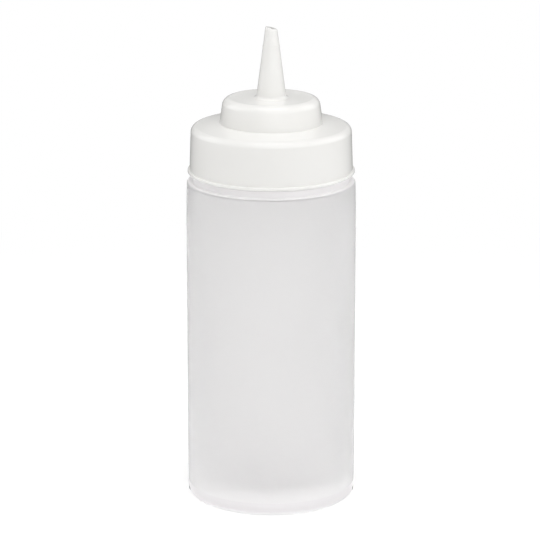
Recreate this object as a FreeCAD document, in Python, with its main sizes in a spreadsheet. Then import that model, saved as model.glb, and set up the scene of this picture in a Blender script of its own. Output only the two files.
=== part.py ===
import FreeCAD, Part
import os

import Sketcher
from FreeCAD import Vector

# A wide-mouth squeeze bottle. The bottle is a hollow moulded body with a collar and an open neck. The
# cap screws over the neck: a skirt with a bead, a sloping ledge, a round step and a cone spout whose
# tip is cut open at a slant. Z is up along the axis, and the foot ring stands on Z = 0.

DIMENSIONS = [
    # The bottle.
    ("body_diameter", 70.0, "across the straight part of the body, wider than the collar"),
    ("body_height", 135.1, "from the foot to the shoulder"),
    ("taper_height", 16.0, "how far from each end the body starts to draw in"),
    ("taper_depth", 0.3, "how far the body's side draws in at each end"),
    ("body_wall", 1.0, "wall of the body and the shoulder"),
    ("base_wall", 1.4, "wall of the base"),
    ("foot_round", 3.2, "round between the side and the foot"),
    ("foot_width", 7.0, "from the body's side to the recess under the base"),
    ("foot_chamfer", 1.3, "chamfer inside the foot"),
    ("shoulder_round", 1.3, "round between the side and the shoulder"),
    ("recess_depth", 8.2, "how far the base is pushed up"),
    ("recess_slope", 1.2, "how much the recess narrows, each side, towards its top"),
    ("recess_chamfer", 1.2, "chamfers at the top of the recess, below and above the base"),
    ("collar_reach", 2.3, "how far the collar under the cap stands out of the neck"),
    ("collar_height", 3.1, "height of the collar"),
    ("collar_chamfer", 0.4, "chamfer at the top of the collar"),
    ("neck_diameter", 60.2, "neck below the threads"),
    ("neck_height", 18.0, "from the collar to the lip"),
    ("neck_wall", 1.4, "wall of the neck and the collar"),
    ("lip_chamfer", 0.3, "chamfers at the two edges of the lip"),
    # How the cap fits the neck.
    ("thread_room", 1.3, "between the neck and the top of the skirt, for the threads"),
    ("collar_gap", 0.35, "between the collar and the skirt's lower edge"),
    ("seal_height", 0.2, "of the seal rib that rests on the lip, at the skirt"),
    # The cap.
    ("skirt_wall", 1.6, "wall of the skirt"),
    ("skirt_flare", 0.6, "how much the skirt widens, each side, towards its lower edge"),
    ("bead_reach", 0.8, "how far the bead at the skirt's lower edge stands out"),
    ("bead_height", 1.35, "height of that bead"),
    ("bead_chamfer", 0.45, "chamfers at the two edges of that bead"),
    ("cap_wall", 1.4, "wall of the ledge and the step"),
    ("ledge_round", 2.4, "round between the skirt and the ledge"),
    ("ledge_rise", 1.6, "rise of the ledge from the skirt to the step"),
    ("step_diameter", 42.4, "foot of the step"),
    ("step_draft", 1.5, "how much the step narrows, each side, towards its top"),
    ("step_height", 10.4, "from the ledge to the top of the step"),
    ("step_round", 3.4, "round at the top of the step"),
    ("inner_chamfer", 0.9, "chamfers inside the cap"),
    # The spout.
    ("spout_diameter", 12.3, "foot of the spout"),
    ("spout_height", 29.3, "from the step to the highest point of the tip"),
    ("spout_foot_round", 1.2, "round at the foot of the spout"),
    ("tip_diameter", 4.7, "tip of the spout"),
    ("bore_diameter", 9.0, "foot of the bore through the spout"),
    ("hole_diameter", 2.4, "hole in the tip"),
    ("tip_slant", 13.5, "tilt of the cut through the tip, in degrees"),
    ("guide_drop", 8.0, "from the highest point of the tip to the guide ridge"),
    ("guide_height", 0.6, "height of the guide ridge"),
    ("guide_reach", 0.12, "how far the guide ridge stands out of the spout"),
]

TOLERANCE = 1e-4

doc = FreeCAD.newDocument("squeeze_bottle")
sizes = doc.addObject("Spreadsheet::Sheet", "sizes")
for row, (alias, value, note) in enumerate(DIMENSIONS, start=1):
    sizes.set(f"A{row}", alias)
    sizes.set(f"B{row}", str(value))
    sizes.set(f"C{row}", note)
    sizes.setAlias(f"B{row}", alias)
doc.recompute()


def number(expression):
    """The value of an expression on the sheet."""
    return float(sizes.evalExpression(expression))


def bind(sketch, kind, *points, size):
    """Add a constraint of the sketch that follows an expression."""
    index = sketch.addConstraint(Sketcher.Constraint(kind, *points, number(size)))
    sketch.setExpression(f"Constraints[{index}]", size)


def place_corner(sketch, side, across, up):
    """Tie the first point of a side to its distance from the axis and its height."""
    if across == "0":
        sketch.addConstraint(Sketcher.Constraint("PointOnObject", side, 1, -2))
    else:
        bind(sketch, "DistanceX", -1, 1, side, 1, size=across)
    if up == "0":
        sketch.addConstraint(Sketcher.Constraint("PointOnObject", side, 1, -1))
    else:
        bind(sketch, "DistanceY", -1, 1, side, 1, size=up)


def round_corner(sketch, side, radius):
    """Round the corner that a side starts at; the corner's place stays where it was."""
    sketch.fillet(side, 1, number(radius), True, True)
    arcs = [index for index, shape in enumerate(sketch.Geometry) if isinstance(shape, Part.ArcOfCircle)]
    bind(sketch, "Radius", arcs[-1], size=radius)


def outline(body, name, corners):
    """A closed outline of straight sides on the body's XZ plane.

    Each corner is given by its distance from the axis, its height and, where it is round, a radius."""
    sketch = body.newObject("Sketcher::SketchObject", name)
    planes = [feature for feature in body.Origin.OriginFeatures if feature.Role == "XZ_Plane"]
    sketch.AttachmentSupport = [(planes[0], "")]
    sketch.MapMode = "FlatFace"
    points = [Vector(number(across), number(up), 0) for across, up, *_ in corners]
    for start, end in zip(points, points[1:] + points[:1]):
        sketch.addGeometry(Part.LineSegment(start, end))
    for side, (across, up, *_) in enumerate(corners):
        before = (side - 1) % len(corners)
        sketch.addConstraint(Sketcher.Constraint("Coincident", before, 2, side, 1))
        place_corner(sketch, side, across, up)
    for side, (_, _, *radius) in enumerate(corners):
        if radius:
            round_corner(sketch, side, radius[0])
    return sketch


def turn(body, kind, name, corners):
    """Turn an outline about the axis: a Revolution adds to the body, a Groove cuts it."""
    sketch = outline(body, f"{name}_outline", corners)
    feature = body.newObject(f"PartDesign::{kind}", name)
    feature.Profile = sketch
    feature.ReferenceAxis = (sketch, ["V_Axis"])
    feature.Angle = 360
    doc.recompute()


def rim(feature, across, up):
    """The name of the circular edge of a feature with this radius and height."""
    for count, edge in enumerate(feature.Shape.Edges, start=1):
        curve = edge.Curve
        if not isinstance(curve, Part.Circle):
            continue
        same_radius = abs(curve.Radius - number(across)) < TOLERANCE
        if same_radius and abs(curve.Center.z - number(up)) < TOLERANCE:
            return f"Edge{count}"
    raise ValueError(f"{feature.Name} has no rim at {across}, {up}")


def dress(body, kind, name, size, rims):
    """A Fillet or a Chamfer of one size on rims given as pairs like an outline's corners."""
    base = body.Tip
    feature = body.newObject(f"PartDesign::{kind}", name)
    feature.Base = (base, [rim(base, across, up) for across, up in rims])
    feature.setExpression("Radius" if kind == "Fillet" else "Size", size)
    doc.recompute()


# Radii and heights of the neck, which the cap takes its own from.
COLLAR_TOP = "sizes.body_height + sizes.collar_height"
NECK_RADIUS = "sizes.neck_diameter / 2"
NECK_INSIDE = f"{NECK_RADIUS} - sizes.neck_wall"
LIP = f"{COLLAR_TOP} + sizes.neck_height"


def make_bottle():
    """The hollow bottle: its outside, the recess under it, then its inside."""
    body = doc.addObject("PartDesign::Body", "bottle")
    body.Label = "bottle"

    side = "sizes.body_diameter / 2"
    side_end = f"{side} - sizes.taper_depth"
    shoulder = "sizes.body_height"
    upper_taper = f"{shoulder} - sizes.taper_height"
    collar = f"{NECK_RADIUS} + sizes.collar_reach"
    turn(body, "Revolution", "bottle_outside", [
        ("0", "0"),
        (side_end, "0", "sizes.foot_round"),
        (side, "sizes.taper_height"),
        (side, upper_taper),
        (side_end, shoulder, "sizes.shoulder_round"),
        (collar, shoulder),
        (collar, COLLAR_TOP),
        (NECK_RADIUS, COLLAR_TOP),
        (NECK_RADIUS, LIP),
        ("0", LIP),
    ])
    dress(body, "Chamfer", "collar_edge", "sizes.collar_chamfer", [(collar, COLLAR_TOP)])

    # The base is pushed up, so that the bottle stands on a hollow ring.
    recess_foot = f"{side} - sizes.foot_width"
    recess_top = f"{recess_foot} - sizes.recess_slope"
    turn(body, "Groove", "base_recess", [
        ("0", "0"),
        (recess_foot, "0"),
        (recess_top, "sizes.recess_depth"),
        ("0", "sizes.recess_depth"),
    ])
    dress(body, "Chamfer", "recess_edge", "sizes.recess_chamfer", [(recess_top, "sizes.recess_depth")])

    inner_side = f"{side} - sizes.body_wall"
    inner_side_end = f"{side_end} - sizes.body_wall"
    inner_shoulder = f"{shoulder} - sizes.body_wall"
    inner_collar = f"{collar} - sizes.neck_wall"
    inner_collar_top = f"{COLLAR_TOP} - sizes.neck_wall"
    floor = "sizes.recess_depth + sizes.base_wall"
    floor_edge = f"{recess_top} + sizes.base_wall"
    turn(body, "Groove", "bottle_inside", [
        ("0", floor),
        (floor_edge, floor),
        (f"{recess_foot} + sizes.base_wall", "sizes.base_wall"),
        (inner_side_end, "sizes.base_wall"),
        (inner_side, "sizes.taper_height"),
        (inner_side, upper_taper),
        (inner_side_end, inner_shoulder),
        (inner_collar, inner_shoulder),
        (inner_collar, inner_collar_top),
        (NECK_INSIDE, inner_collar_top),
        (NECK_INSIDE, LIP),
        ("0", LIP),
    ])
    inner_foot = [(inner_side_end, "sizes.base_wall")]
    dress(body, "Chamfer", "inner_foot_chamfer", "sizes.foot_chamfer", inner_foot)
    dress(body, "Chamfer", "floor_edge", "sizes.recess_chamfer", [(floor_edge, floor)])
    dress(body, "Chamfer", "lip_edges", "sizes.lip_chamfer", [(NECK_RADIUS, LIP), (NECK_INSIDE, LIP)])
    return body


def make_cap():
    """The cap, in its own frame: Z = 0 is the lip of the neck that it rests on."""
    body = doc.addObject("PartDesign::Body", "cap")
    body.Label = "cap"
    body.setExpression("Placement.Base.z", LIP)

    # The skirt stands off the neck by the thread's room, and its wall and flare follow from there.
    inner_skirt_top = f"{NECK_RADIUS} + sizes.thread_room"
    inner_skirt_foot = f"{inner_skirt_top} + sizes.skirt_flare"
    skirt_top = f"{inner_skirt_top} + sizes.skirt_wall"
    skirt_side = f"{inner_skirt_foot} + sizes.skirt_wall"
    skirt_foot = "-(sizes.neck_height - sizes.collar_gap)"
    bead = f"{skirt_side} + sizes.bead_reach"
    bead_top = f"{skirt_foot} + sizes.bead_height"
    ceiling = "sizes.seal_height"
    ledge = f"{ceiling} + sizes.cap_wall"
    step_foot = "sizes.step_diameter / 2"
    step_rim = f"{step_foot} - sizes.step_draft"
    step_low = f"{ledge} + sizes.ledge_rise"
    step_top = f"{step_low} + sizes.step_height"
    turn(body, "Revolution", "cap_outside", [
        ("0", skirt_foot),
        (bead, skirt_foot),
        (bead, bead_top),
        (skirt_side, bead_top),
        (skirt_top, ledge, "sizes.ledge_round"),
        (step_foot, step_low),
        (step_rim, step_top, "sizes.step_round"),
        ("0", step_top),
    ])
    dress(body, "Chamfer", "bead_edges", "sizes.bead_chamfer", [(bead, skirt_foot), (bead, bead_top)])

    # The inside follows the outside, one wall further in.
    inner_step_foot = f"{step_foot} - sizes.cap_wall"
    inner_step_rim = f"{step_rim} - sizes.cap_wall"
    inner_step_top = f"{step_top} - sizes.cap_wall"
    turn(body, "Groove", "cap_inside", [
        ("0", skirt_foot),
        (inner_skirt_foot, skirt_foot),
        (inner_skirt_top, ceiling),
        (inner_step_foot, f"{step_low} - sizes.cap_wall"),
        (inner_step_rim, inner_step_top),
        ("0", inner_step_top),
    ])
    inner_rims = [(inner_skirt_top, ceiling), (inner_step_rim, inner_step_top)]
    dress(body, "Chamfer", "inner_edges", "sizes.inner_chamfer", inner_rims)

    # A flat rib under the ledge seals on the lip.
    in_the_ledge = f"{ceiling} + sizes.cap_wall / 2"
    turn(body, "Revolution", "seal_rib", [
        (NECK_INSIDE, "0"),
        (NECK_RADIUS, "0"),
        (NECK_RADIUS, in_the_ledge),
        (NECK_INSIDE, in_the_ledge),
    ])

    add_spout(body, step_top)
    return body


def add_spout(body, foot):
    """The cone spout on the cap's step, with its guide ridge, bore and slanting cut."""
    foot_radius = "sizes.spout_diameter / 2"
    tip_radius = "sizes.tip_diameter / 2"
    tip = f"{foot} + sizes.spout_height"
    in_the_step = f"{foot} - sizes.cap_wall / 2"
    turn(body, "Revolution", "spout_cone", [
        ("0", in_the_step),
        (foot_radius, in_the_step),
        (foot_radius, foot),
        (tip_radius, tip),
        ("0", tip),
    ])
    dress(body, "Fillet", "spout_fillet", "sizes.spout_foot_round", [(foot_radius, foot)])

    # The ridge marks where the tip can be cut back for a wider hole.
    taper = f"({foot_radius} - {tip_radius}) / sizes.spout_height"
    ridge = f"{tip} - sizes.guide_drop"
    surface = f"{tip_radius} + sizes.guide_drop * {taper}"
    half_change = f"sizes.guide_height / 2 * {taper}"
    turn(body, "Revolution", "guide_ridge", [
        ("sizes.hole_diameter / 2", f"{ridge} - sizes.guide_height / 2"),
        (f"{surface} + {half_change}", f"{ridge} - sizes.guide_height / 2"),
        (f"{surface} + sizes.guide_reach", ridge),
        (f"{surface} - {half_change}", f"{ridge} + sizes.guide_height / 2"),
        ("sizes.hole_diameter / 2", f"{ridge} + sizes.guide_height / 2"),
    ])

    bore_foot = f"{foot} - sizes.cap_wall"
    turn(body, "Groove", "spout_bore", [
        ("0", bore_foot),
        ("sizes.bore_diameter / 2", bore_foot),
        ("sizes.hole_diameter / 2", tip),
        ("0", tip),
    ])

    # The cut starts at the tip's highest point, at -X, and falls towards +X.
    cut = outline(body, "tip_cut_outline", [
        (f"-{tip_radius}", tip),
        (tip_radius, f"{tip} - sizes.tip_diameter * tan(sizes.tip_slant * 1 deg)"),
        (tip_radius, tip),
    ])
    pocket = body.newObject("PartDesign::Pocket", "tip_cut")
    pocket.Profile = cut
    pocket.Midplane = True
    pocket.setExpression("Length", "sizes.spout_diameter")
    doc.recompute()


nodes = [make_bottle(), make_cap()]

failed = [item.Name for item in doc.Objects if "Invalid" in item.State or "Error" in item.State]
failed += [node.Label for node in nodes if node.Shape.isNull() or not node.Shape.isValid()]
if failed:
    raise RuntimeError(f"these did not build: {failed}")

os.makedirs("parts", exist_ok=True)
for node in nodes:
    node.Shape.exportStep(f"parts/{node.Label}.step")
    box = node.Shape.BoundBox
    print(node.Label, f"{node.Shape.Volume / 1000:.2f} cm3, Z {box.ZMin:.2f} to {box.ZMax:.2f}")
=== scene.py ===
import math

import bmesh
import bpy
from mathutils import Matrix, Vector


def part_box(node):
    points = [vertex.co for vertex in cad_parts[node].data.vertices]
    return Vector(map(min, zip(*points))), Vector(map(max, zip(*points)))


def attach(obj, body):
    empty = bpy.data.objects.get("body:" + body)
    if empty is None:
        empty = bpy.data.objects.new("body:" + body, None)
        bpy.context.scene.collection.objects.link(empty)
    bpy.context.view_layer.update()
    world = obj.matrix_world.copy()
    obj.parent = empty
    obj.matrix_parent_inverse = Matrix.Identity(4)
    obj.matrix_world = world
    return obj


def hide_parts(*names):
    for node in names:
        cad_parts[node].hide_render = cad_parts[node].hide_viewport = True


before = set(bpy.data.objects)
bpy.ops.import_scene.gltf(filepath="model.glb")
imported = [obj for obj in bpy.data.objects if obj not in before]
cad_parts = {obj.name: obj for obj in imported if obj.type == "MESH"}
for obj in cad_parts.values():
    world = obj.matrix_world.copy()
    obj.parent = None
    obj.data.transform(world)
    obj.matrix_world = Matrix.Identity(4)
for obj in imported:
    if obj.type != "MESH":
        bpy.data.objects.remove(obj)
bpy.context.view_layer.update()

# ---------------------------------------------------------------------------
# The bottle: soft natural polyethylene, blown in one piece about 1 mm thick,
# with a pushed-up base and a collar and neck that carry the cap. It is drawn
# in rings from the base out, over the lip and back inside, then rounded.
# ---------------------------------------------------------------------------

MM = 0.001
AROUND = 192
NEAR = 0.01 * MM
SHARP_FROM = math.radians(30)

# Round forms, such as the side, the neck and the collar, are given by their radius.
bottle_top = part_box("bottle")[1]
side = bottle_top.x
lip = bottle_top.z
body_wall = 1.0 * MM
base_wall = 1.4 * MM
draw_in = 0.3 * MM
draw_in_height = 16.0 * MM
foot_width = 7.0 * MM
foot_round = 3.2 * MM
foot_height = 5.0 * MM
recess_depth = 8.2 * MM
recess_slope = 1.2 * MM
recess_round = 1.2 * MM
ring_round = 0.6 * MM
ring_inner_round = 1.0 * MM
neck_height = 18.0 * MM
neck = 30.1 * MM
neck_inside = 28.7 * MM
lip_round = 0.3 * MM
collar_height = 3.1 * MM
collar = 32.4 * MM
collar_inside = 31.0 * MM
collar_round = 0.5 * MM
collar_foot_round = 0.3 * MM
shoulder_round = 1.3 * MM

collar_top = lip - neck_height
shoulder = collar_top - collar_height
recess_foot = side - foot_width
recess_top = recess_foot - recess_slope
floor_inside = recess_depth + base_wall


def start_ring(name, radius, height):
    """Add a circle on the axis, ready to be drawn out ring by ring."""
    bpy.ops.object.select_all(action="DESELECT")
    bpy.ops.mesh.primitive_circle_add(vertices=AROUND, radius=radius, location=(0, 0, height))
    bpy.ops.object.transform_apply(location=True, rotation=True, scale=True)
    bpy.context.object.name = name
    bpy.ops.object.mode_set(mode="EDIT")
    bpy.ops.mesh.select_mode(type="EDGE")
    bpy.ops.mesh.select_all(action="SELECT")
    return bpy.context.object


def draw_rings(rings):
    """Draw the selected ring, the first of these, out through the others."""
    for (radius, height), (next_radius, next_height) in zip(rings, rings[1:]):
        rise = {"value": (0, 0, next_height - height)}
        bpy.ops.mesh.extrude_edges_move(TRANSFORM_OT_translate=rise)
        grow = next_radius / radius
        bpy.ops.transform.resize(value=(grow, grow, 1), center_override=(0, 0, next_height))


def body_side(wall, low, high):
    """Rings up a body side that swells gently from both ends to its straight middle."""
    steps = 8
    rings = []
    for start, end, swell in ((low, draw_in_height, math.sin), (shoulder - draw_in_height, high, math.cos)):
        for step in range(steps + 1):
            share = step / steps
            radius = side - wall - draw_in * (1 - swell(share * math.pi / 2))
            rings.append((radius, start + (end - start) * share))
    return rings


def select_edges(piece, wanted):
    """Select only the edges whose two ends are both wanted."""
    bpy.ops.mesh.select_all(action="DESELECT")
    mesh = bmesh.from_edit_mesh(piece.data)
    for edge in mesh.edges:
        edge.select_set(all(wanted(end.co) for end in edge.verts))
    bmesh.update_edit_mesh(piece.data)


def select_rim(piece, radius, height):
    """Select only the ring of edges with this radius and height."""
    select_edges(piece, lambda end: abs(end.xy.length - radius) < NEAR and abs(end.z - height) < NEAR)


def round_selected(reach, steps):
    """Round the selected edges; reach is how far the round goes along the faces beside them."""
    bpy.ops.mesh.bevel(offset=reach, segments=steps, profile=0.5, affect="EDGES", clamp_overlap=False)


def round_rim(piece, radius, height, reach, steps):
    """Round the rim with this radius and height."""
    select_rim(piece, radius, height)
    round_selected(reach, steps)


def close_rim(piece, radius, height):
    """Close the end of a turned piece with a flat face."""
    select_rim(piece, radius, height)
    bpy.ops.mesh.edge_face_add()


def finish_turned(piece):
    """Turn all faces outwards and shade the rounds smooth."""
    bpy.ops.mesh.select_all(action="SELECT")
    bpy.ops.mesh.remove_doubles(threshold=NEAR / 10)
    bpy.ops.mesh.normals_make_consistent(inside=False)
    bpy.ops.object.mode_set(mode="OBJECT")
    bpy.ops.object.shade_smooth_by_angle(angle=SHARP_FROM)
    bpy.ops.object.modifier_add(type="WEIGHTED_NORMAL")
    piece.modifiers[-1].keep_sharp = True
    bpy.ops.object.modifier_apply(modifier=piece.modifiers[-1].name)


outer_side = body_side(0, 0, shoulder)
inner_side = body_side(body_wall, base_wall, shoulder - body_wall)

bottle = start_ring("squeeze_bottle_body", recess_top, recess_depth)
draw_rings([
    (recess_top, recess_depth),
    (recess_foot, 0),
    *outer_side,
    (collar, shoulder),
    (collar, collar_top),
    (neck, collar_top),
    (neck, lip),
    (neck_inside, lip),
    (neck_inside, collar_top - base_wall),
    (collar_inside, collar_top - base_wall),
    (collar_inside, shoulder - body_wall),
    *reversed(inner_side),
    (recess_foot + base_wall, base_wall),
    (recess_top + base_wall, floor_inside),
])
close_rim(bottle, recess_top, recess_depth)
close_rim(bottle, recess_top + base_wall, floor_inside)
round_rim(bottle, *outer_side[0], foot_round, steps=8)
round_rim(bottle, *inner_side[0], foot_round - body_wall, steps=6)
round_rim(bottle, *outer_side[-1], shoulder_round, steps=6)
round_rim(bottle, recess_foot, 0, ring_round, steps=3)
round_rim(bottle, recess_top, recess_depth, recess_round, steps=4)
round_rim(bottle, recess_top + base_wall, floor_inside, recess_round + base_wall, steps=6)
round_rim(bottle, recess_foot + base_wall, base_wall, ring_inner_round, steps=4)
round_rim(bottle, collar, shoulder, collar_foot_round, steps=3)
round_rim(bottle, collar, collar_top, collar_round, steps=4)
round_rim(bottle, neck, lip, lip_round, steps=2)
round_rim(bottle, neck_inside, lip, lip_round, steps=2)
finish_turned(bottle)


def fill_inputs(tree, node, inputs):
    """Give inputs of a node a value, or link them to the output of another node."""
    for name, value in inputs.items():
        if isinstance(value, bpy.types.NodeSocket):
            tree.links.new(value, node.inputs[name])
        else:
            node.inputs[name].default_value = value


def add_node(tree, kind, inputs, **settings):
    """Add a shader node with its settings and inputs."""
    node = tree.nodes.new("ShaderNode" + kind)
    for name, value in settings.items():
        setattr(node, name, value)
    fill_inputs(tree, node, inputs)
    return node


def start_material(name):
    """A new material, with its node tree and its main shader."""
    material = bpy.data.materials.new(name)
    material.use_nodes = True
    return material, material.node_tree, material.node_tree.nodes["Principled BSDF"]


def vary_material(source, name, inputs):
    """A copy of a material with other values on its main shader."""
    material = source.copy()
    material.name = name
    fill_inputs(material.node_tree, material.node_tree.nodes["Principled BSDF"], inputs)
    return material


# Fine frosting, and faint streaks up the wall where the soft tube was stretched into its mould.
frosted, tree, plastic = start_material("frosted_natural_polyethylene")
place = add_node(tree, "TexCoord", {}).outputs["Object"]
frosting = add_node(tree, "TexNoise", {"Scale": 900, "Detail": 3, "Vector": place}).outputs["Fac"]
stretched = add_node(tree, "Mapping", {"Scale": (1, 1, 0.06), "Vector": place}).outputs["Vector"]
streaks = add_node(tree, "TexNoise", {"Scale": 130, "Detail": 2, "Vector": stretched}).outputs["Fac"]
roughness = add_node(tree, "MapRange", {"To Min": 0.55, "To Max": 0.65, "Value": streaks})
waves = add_node(tree, "Bump", {"Strength": 0.15, "Distance": 0.1 * MM, "Height": streaks})
grain = add_node(tree, "Bump", {
    "Strength": 0.1,
    "Distance": 0.02 * MM,
    "Height": frosting,
    "Normal": waves.outputs["Normal"],
})
fill_inputs(tree, plastic, {
    "Base Color": (0.99, 0.985, 0.985, 1),
    "Transmission Weight": 0.9,
    "IOR": 1.5,
    "Coat Weight": 0.2,
    "Coat Roughness": 0.15,
    "Roughness": roughness.outputs["Result"],
    "Normal": grain.outputs["Normal"],
})

# The same plastic is whiter and hardly see-through where it is thick, from the shoulder's edge up.
thick = vary_material(frosted, "thick_natural_polyethylene", {
    "Base Color": (1, 0.985, 0.99, 1),
    "Transmission Weight": 0.1,
})

# The raised floor, at the pinch-off of the blown tube, has a darker colour: painted shade for the dark
# hollow under the pushed-up base, seen through the wall.
shaded_floor = vary_material(frosted, "painted_shade_floor_polyethylene", {"Base Color": (0.87, 0.86, 0.865, 1)})

# Round the foot the wall hardly bends light, so that the tight rounds don't break it into bright flecks;
# its darker colour is painted shade that keeps the foot from showing too bright.
foot = vary_material(frosted, "painted_shade_foot_polyethylene", {
    "Base Color": (0.92, 0.91, 0.915, 1),
    "IOR": 1.01,
    "Coat Weight": 0,
})

plastics = [frosted, thick, shaded_floor, foot]
for material in plastics:
    bottle.data.materials.append(material)
# Faces take the thick plastic, or the darker copies that paint shade on the raised floor and round the
# foot, by where they sit.
shoulder_edge = shoulder - shoulder_round / 3
for face in bottle.data.polygons:
    reach, height = face.center.xy.length, face.center.z
    material = frosted
    if height > shoulder_edge:
        material = thick
    elif recess_depth - recess_round < height < floor_inside + NEAR and reach < recess_top + base_wall:
        material = shaded_floor
    elif height < foot_height:
        material = foot
    face.material_index = plastics.index(material)

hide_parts("bottle")
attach(bottle, "root")

# ---------------------------------------------------------------------------
# The cap: white polyethylene, moulded in one piece that screws over the neck.
# Its skirt with a bead, sloping ledge, round step and hollow cone spout are
# drawn in rings; a rib inside seals on the lip, and the tip is cut open.
# ---------------------------------------------------------------------------

cap_foot, cap_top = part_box("cap")
bead = cap_top.x
bead_reach = 0.8 * MM
bead_height = 1.35 * MM
bead_round = 0.45 * MM
cap_wall = 1.4 * MM
skirt_wall = 1.6 * MM
skirt_flare = 0.6 * MM
seal_height = 0.2 * MM
seal_spread = 0.5 * MM
ledge_rise = 1.6 * MM
ledge_round_reach = 2.28 * MM
step_foot = 21.2 * MM
step_draft = 1.5 * MM
step_height = 10.4 * MM
step_round_reach = 2.958 * MM
step_inner_round = 0.9 * MM
spout_foot = 6.15 * MM
spout_height = 29.3 * MM
spout_foot_round = 1.2 * MM
bore_foot = 4.5 * MM
hole = 1.2 * MM
tip = 2.35 * MM
tip_round = 0.4 * MM
tip_slant = math.radians(13.5)
guide_drop = 8.0 * MM
guide_height = 0.6 * MM
guide_reach = 0.12 * MM

skirt_foot = cap_foot.z
bead_top = skirt_foot + bead_height
skirt_low = bead - bead_reach
skirt_high = skirt_low - skirt_flare
ceiling = lip + seal_height
ledge = ceiling + cap_wall
step_low = ledge + ledge_rise
step_top = step_low + step_height
step_rim = step_foot - step_draft
tip_top = step_top + spout_height
guide_top = tip_top - guide_drop + guide_height / 2
guide_low = guide_top - guide_height


def along_spout(height):
    """The radius of the spout's cone at a height."""
    return tip + (spout_foot - tip) * (tip_top - height) / spout_height


cap = start_ring("stepped_screw_cap", tip, tip_top)
draw_rings([
    (tip, tip_top),
    (along_spout(guide_top), guide_top),
    (along_spout(guide_top) + guide_reach, guide_top),
    (along_spout(guide_low) + guide_reach, guide_low),
    (along_spout(guide_low), guide_low),
    (spout_foot, step_top),
    (step_rim, step_top),
    (step_foot, step_low),
    (skirt_high, ledge),
    (skirt_low, bead_top),
    (bead, bead_top),
    (bead, skirt_foot),
    (skirt_low - skirt_wall, skirt_foot),
    (skirt_high - skirt_wall, ceiling),
    (neck + seal_spread, ceiling),
    (neck, lip),
    (neck_inside, lip),
    (neck_inside - seal_spread, ceiling),
    (step_foot - cap_wall, step_low - cap_wall),
    (step_rim - cap_wall, step_top - cap_wall),
    (bore_foot, step_top - cap_wall),
    (hole, tip_top),
])
round_rim(cap, spout_foot, step_top, spout_foot_round, steps=6)
round_rim(cap, step_rim, step_top, step_round_reach, steps=10)
round_rim(cap, skirt_high, ledge, ledge_round_reach, steps=10)
round_rim(cap, bead, bead_top, bead_round, steps=4)
round_rim(cap, bead, skirt_foot, bead_round, steps=4)
round_rim(cap, step_rim - cap_wall, step_top - cap_wall, step_inner_round, steps=4)

# The tip is cut from its highest point, at -X, down towards +X, and the cut's outer rim is rounded.
cut_place = Vector((-tip, 0, tip_top))
cut_facing = Vector((math.sin(tip_slant), 0, math.cos(tip_slant)))
middle_of_wall = (hole + tip) / 2
bpy.ops.mesh.select_all(action="SELECT")
bpy.ops.mesh.bisect(plane_co=cut_place, plane_no=cut_facing, clear_outer=True)
bpy.ops.mesh.bridge_edge_loops()
select_edges(
    cap,
    lambda end: end.xy.length > middle_of_wall and abs((end - cut_place).dot(cut_facing)) < NEAR,
)
round_selected(tip_round, steps=4)
finish_turned(cap)

# A satin skin that is a little uneven, as moulded polyethylene is, over a body that light enters a little.
white, tree, plastic = start_material("satin_white_polyethylene")
place = add_node(tree, "TexCoord", {}).outputs["Object"]
skin = add_node(tree, "TexNoise", {"Scale": 700, "Detail": 4, "Vector": place}).outputs["Fac"]
roughness = add_node(tree, "MapRange", {"To Min": 0.08, "To Max": 0.13, "Value": skin})
uneven = add_node(tree, "Bump", {"Strength": 0.2, "Distance": 0.003 * MM, "Height": skin})
fill_inputs(tree, plastic, {
    "Base Color": (0.9, 0.893, 0.87, 1),
    "IOR": 1.5,
    "Subsurface Weight": 0.4,
    "Subsurface Radius": (1, 1, 1),
    "Subsurface Scale": 1.2 * MM,
    "Roughness": roughness.outputs["Result"],
    "Normal": uneven.outputs["Normal"],
})
cap.data.materials.append(white)

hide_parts("cap")
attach(cap, "root")

# ---------------------------------------------------------------------------
# The table: a white top that takes the bottle's soft shadow and fades into
# plain white around it. It glows through the bottle, a little more at the
# foot, and is dark in far reflections, which draws the bottle's outlines.
# ---------------------------------------------------------------------------

table_width = 8.0
fade_start, fade_end = 60 * MM, 450 * MM
foot_glow_start, foot_glow_end = 36 * MM, 60 * MM
dark_start, dark_end = 400 * MM, 650 * MM
table_glow = 0.19
straight_glow = 0.15
through_glow = 0.79
mirrored_glow = 0.1

bpy.ops.object.select_all(action="DESELECT")
bpy.ops.mesh.primitive_plane_add(size=table_width)
table = bpy.context.object
table.name = "table"

white_table, tree, lit = start_material("white_table")
fill_inputs(tree, lit, {"Base Color": (0.8, 0.8, 0.8, 1), "Roughness": 0.9})
place = add_node(tree, "TexCoord", {}).outputs["Object"]
distance = add_node(tree, "VectorMath", {0: place}, operation="LENGTH").outputs["Value"]


def over_distance(start, end, low, high):
    """A value that eases from low to high between two distances from the bottle's axis."""
    ends = {"From Min": start, "From Max": end, "To Min": low, "To Max": high, "Value": distance}
    return add_node(tree, "MapRange", ends, interpolation_type="SMOOTHSTEP").outputs["Result"]


def glow(strength):
    """Plain white that needs no lamp; its strength is a number or the output of a node."""
    return add_node(tree, "Emission", {"Strength": strength}).outputs["Emission"]


def brighten(surface, strength):
    """A surface with a glow added to it."""
    return add_node(tree, "AddShader", {0: surface, 1: glow(strength)}).outputs["Shader"]


def blend(share, first, second):
    """The first surface where share is 0, and the second where it is 1."""
    return add_node(tree, "MixShader", {"Fac": share, 1: first, 2: second}).outputs["Shader"]


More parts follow.
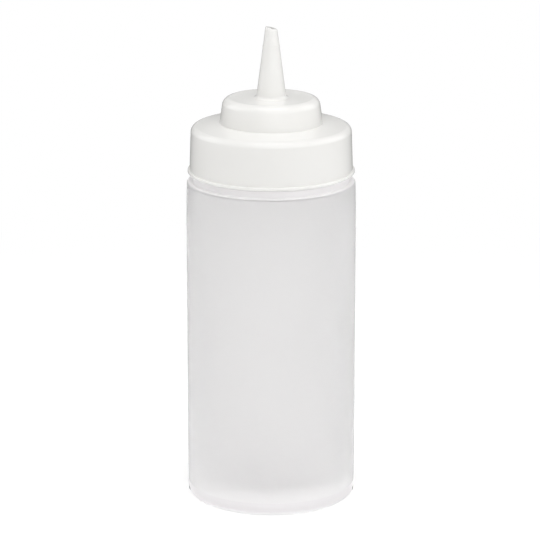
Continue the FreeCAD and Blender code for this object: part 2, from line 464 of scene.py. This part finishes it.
ray = add_node(tree, "LightPath", {}).outputs
lit_table = brighten(lit.outputs["BSDF"], table_glow)
near_bottle = brighten(lit_table, straight_glow)
seen_straight = blend(over_distance(fade_start, fade_end, 0, 1), near_bottle, glow(1))
seen_through = glow(over_distance(foot_glow_start, foot_glow_end, 1, through_glow))
mirrored_far = add_node(
    tree,
    "Math",
    {0: ray["Is Glossy Ray"], 1: over_distance(dark_start, dark_end, 0, 1)},
    operation="MULTIPLY",
)
mirrored = blend(mirrored_far.outputs["Value"], lit_table, glow(mirrored_glow))
outside = blend(ray["Is Camera Ray"], mirrored, seen_straight)
surface = blend(ray["Is Transmission Ray"], outside, seen_through)
fill_inputs(tree, tree.nodes["Material Output"], {"Surface": surface})
table.data.materials.append(white_table)

# ---------------------------------------------------------------------------
# The studio: a white room that lights the bottle only dimly, though it is
# seen at full white straight and through the bottle, and large soft lamps at
# the front, the sides and overhead, with a weak one behind.
# ---------------------------------------------------------------------------

room_light = 0.25
lamp_distance = 1.6
lamp_width = 1.3

world = bpy.data.worlds.new("studio")
bpy.context.scene.world = world
world.use_nodes = True
tree = world.node_tree
ray = add_node(tree, "LightPath", {}).outputs
seen = add_node(tree, "Math", {0: ray["Is Camera Ray"], 1: ray["Is Transmission Ray"]}, operation="MAXIMUM")
strength = add_node(tree, "MapRange", {"To Min": room_light, "To Max": 1, "Value": seen.outputs["Value"]})
fill_inputs(tree, tree.nodes["Background"], {"Color": (1, 1, 1, 1), "Strength": strength.outputs["Result"]})


def softbox(name, azimuth, elevation, watts):
    """A square soft lamp that faces the middle of the bottle; azimuth 0 is the front, 90 the right."""
    turn, tilt = math.radians(azimuth), math.radians(elevation)
    flat = lamp_distance * math.cos(tilt)
    place = (flat * math.sin(turn), -flat * math.cos(turn), lip / 2 + lamp_distance * math.sin(tilt))
    bpy.ops.object.light_add(type="AREA", location=place, rotation=(math.pi / 2 - tilt, 0, turn))
    lamp = bpy.context.object
    lamp.name = name
    lamp.data.size = lamp_width
    lamp.data.energy = watts


softbox("front", azimuth=0, elevation=28, watts=6.0)
softbox("front_right", azimuth=40, elevation=28, watts=4.3)
softbox("right", azimuth=105, elevation=28, watts=6.6)
softbox("left", azimuth=-105, elevation=28, watts=7.7)
softbox("back", azimuth=180, elevation=28, watts=1.0)
softbox("overhead", azimuth=0, elevation=78, watts=11.1)

# A long lens looks down at the bottle from a little above.
camera_distance = 1.27
camera_elevation = math.radians(15.35)
aim_height = 96.45 * MM
aim_aside = -0.5 * MM
bpy.ops.object.camera_add(
    location=(
        aim_aside,
        -camera_distance * math.cos(camera_elevation),
        aim_height + camera_distance * math.sin(camera_elevation),
    ),
    rotation=(math.pi / 2 - camera_elevation, 0, 0),
)
camera = bpy.context.object
camera.data.lens = 203.8
camera.data.sensor_width = 36
scene = bpy.context.scene
scene.camera = camera
scene.view_settings.view_transform = "Standard"
